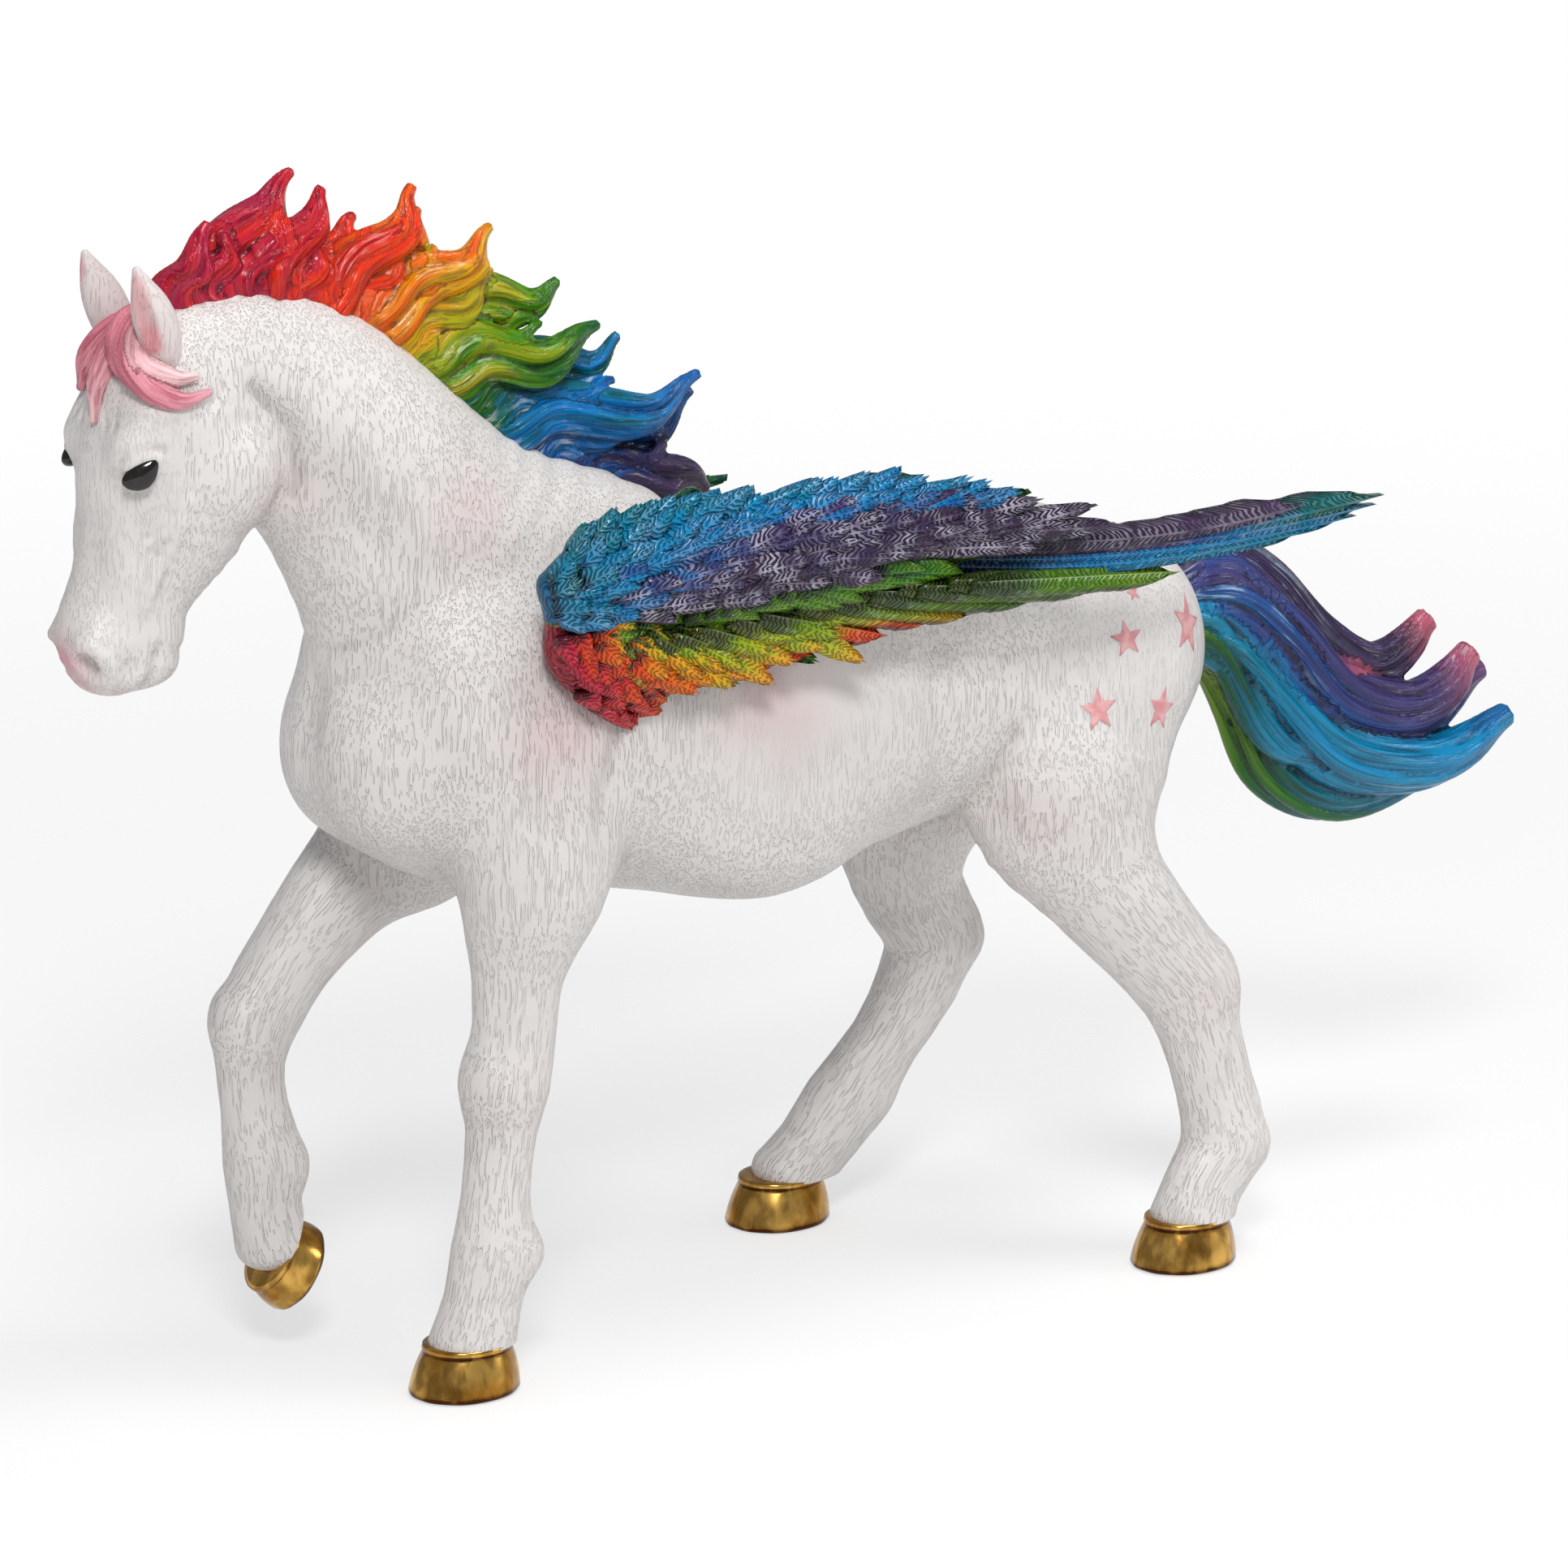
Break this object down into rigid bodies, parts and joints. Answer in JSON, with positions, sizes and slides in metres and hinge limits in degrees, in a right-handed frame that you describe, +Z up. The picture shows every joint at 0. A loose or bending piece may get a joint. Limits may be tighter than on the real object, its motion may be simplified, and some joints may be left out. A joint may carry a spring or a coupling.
{
  "type": "pegasus figurine",
  "caption": "Rigid figurine of a walking winged horse with a rainbow mane, wings and tail, gold hooves and stars on the rump, standing on its hooves.",
  "frame": {"origin": "on the floor, under the middle of the figurine's bounding box", "axes": "-X is the way the horse walks, from tail to head; -Y is its left side; +Z is up"},
  "size_m": [0.1634, 0.0678, 0.1123],
  "materials": {
    "body_white": "satin white paint with incised hair strokes, grey wash and rose blushes",
    "forelock_rose": "white hair strands brushed with rose paint",
    "mane_rainbow": "glossy paint that runs from crimson through orange, yellow, green and blue to purple",
    "tail_rainbow": "glossy paint in purple, blue, teal and green bands along the hair",
    "wing_rainbow": "satin gloss paint with dry-brushed feathers, blue and purple above, green to orange below",
    "hoof_gold": "metallic gold paint",
    "eye_black": "high gloss black"
  },
  "bodies": {
    "root": {"torso": "body_white", "neck": "body_white", "head": "body_white", "left_ear": "body_white", "right_ear": "body_white", "forelock": "forelock_rose", "mane": "mane_rainbow", "tail": "tail_rainbow", "left_wing": "wing_rainbow", "right_wing": "wing_rainbow", "left_front_leg": "body_white", "right_front_leg": "body_white", "left_hind_leg": "body_white", "right_hind_leg": "body_white", "left_front_hoof": "hoof_gold", "right_front_hoof": "hoof_gold", "left_hind_hoof": "hoof_gold", "right_hind_hoof": "hoof_gold", "left_eye": "eye_black", "right_eye": "eye_black"}
  },
  "joints": []
}
